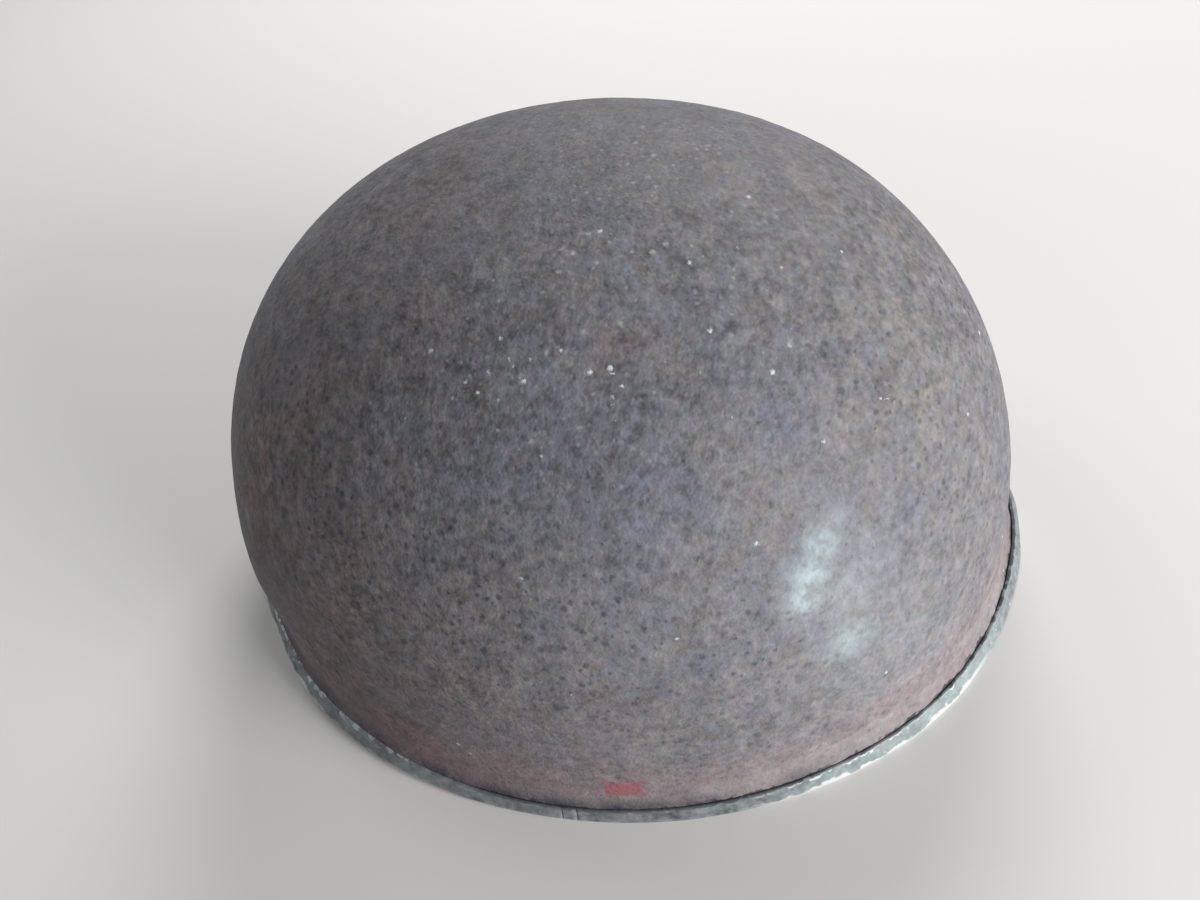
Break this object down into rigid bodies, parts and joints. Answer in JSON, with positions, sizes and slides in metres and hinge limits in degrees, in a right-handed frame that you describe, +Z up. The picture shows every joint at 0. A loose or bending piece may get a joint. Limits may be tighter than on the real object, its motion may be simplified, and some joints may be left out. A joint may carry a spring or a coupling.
{
  "type": "steel combat helmet",
  "caption": "Deep round steel helmet shell, open below, with a slightly flared skirt, a raised brow and a folded steel strip round the rim.",
  "frame": {"origin": "on the ground under the middle of the overall width and length, at the height of the flat underside of the rim strip", "axes": "+Z up to the crown, -Y towards the brow, +Y towards the nape, +X towards the wearer's left"},
  "size_m": [0.2518, 0.2906, 0.16],
  "materials": {
    "shell_paint": "rough sand-textured grey-brown paint, matt, with dark rust pits and brown rust towards the rim",
    "rim_paint": "smooth worn grey-green paint, chipped to bright metal along the lower edge"
  },
  "bodies": {
    "root": {"shell": "shell_paint", "rim_band": "rim_paint"}
  },
  "joints": []
}
